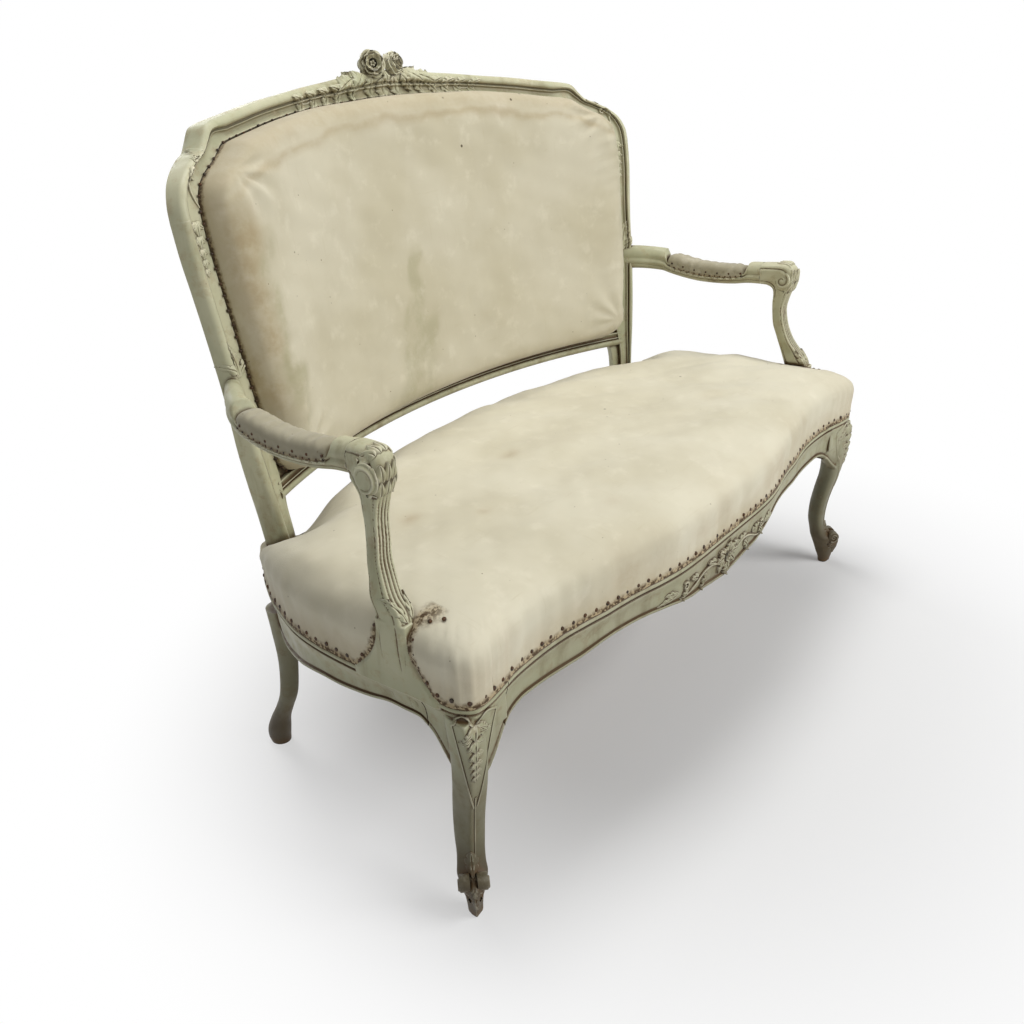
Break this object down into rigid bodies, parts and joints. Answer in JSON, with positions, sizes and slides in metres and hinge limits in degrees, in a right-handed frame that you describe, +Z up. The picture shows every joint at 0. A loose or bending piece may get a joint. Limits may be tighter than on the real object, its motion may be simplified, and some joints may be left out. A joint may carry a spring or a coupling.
{
  "type": "cabriole sofa",
  "caption": "Open-arm cabriole settee: carved painted frame, concave padded back, padded arms, deep serpentine seat in calico and cabriole legs.",
  "frame": {"origin": "on the floor, at the middle of the box round the whole sofa", "axes": "+X along the sofa to the right of someone facing it, +Y from the front to the back, +Z up"},
  "size_m": [1.2444, 0.7344, 1.0794],
  "materials": {
    "painted_wood": "worn pale green-grey paint with a brown glaze in the carving",
    "bare_wood": "unpainted, sawn and planed",
    "calico": "undyed cotton calico, stained",
    "hessian": "open jute weave",
    "webbing": "close jute twill strap",
    "stuffing": "curled hair and fibre",
    "steel": "dull, plain"
  },
  "bodies": {
    "root": {"front_leg_right": "painted_wood", "front_leg_left": "painted_wood", "rear_post_right": "painted_wood", "rear_post_left": "painted_wood", "front_rail": "painted_wood", "rear_rail": "bare_wood", "side_rail_right": "painted_wood", "side_rail_left": "painted_wood", "crest_rail": "painted_wood", "back_lower_rail": "painted_wood", "arm_right": "painted_wood", "arm_left": "painted_wood", "arm_support_right": "painted_wood", "arm_support_left": "painted_wood", "arm_pad_right": "stuffing", "arm_pad_left": "stuffing", "arm_cover_right": "calico", "arm_cover_left": "calico", "front_corner_block_right": "bare_wood", "front_corner_block_left": "bare_wood", "rear_corner_block_right": "bare_wood", "rear_corner_block_left": "bare_wood", "seat_brace": "bare_wood", "seat_web_long_1": "webbing", "seat_web_long_2": "webbing", "seat_web_long_3": "webbing", "seat_web_long_4": "webbing", "seat_web_long_5": "webbing", "seat_web_long_6": "webbing", "seat_web_long_7": "webbing", "seat_web_cross_1": "webbing", "seat_web_cross_2": "webbing", "seat_hessian": "hessian", "seat_stuffing": "stuffing", "seat_cover": "calico", "back_web_upright_1": "webbing", "back_web_upright_2": "webbing", "back_web_upright_3": "webbing", "back_web_cross_1": "webbing", "back_web_cross_2": "webbing", "back_hessian": "hessian", "back_stuffing": "stuffing", "back_cover": "calico", "outside_back_cover": "calico", "arm_rear_dowel_right": "bare_wood", "arm_rear_dowel_left": "bare_wood", "arm_front_dowel_right": "bare_wood", "arm_front_dowel_left": "bare_wood", "support_screw_1_right": "steel", "support_screw_1_left": "steel", "support_screw_2_right": "steel", "support_screw_2_left": "steel", "front_block_screw_right": "steel", "front_block_screw_left": "steel", "rear_block_screw_right": "steel", "rear_block_screw_left": "steel"}
  },
  "joints": []
}
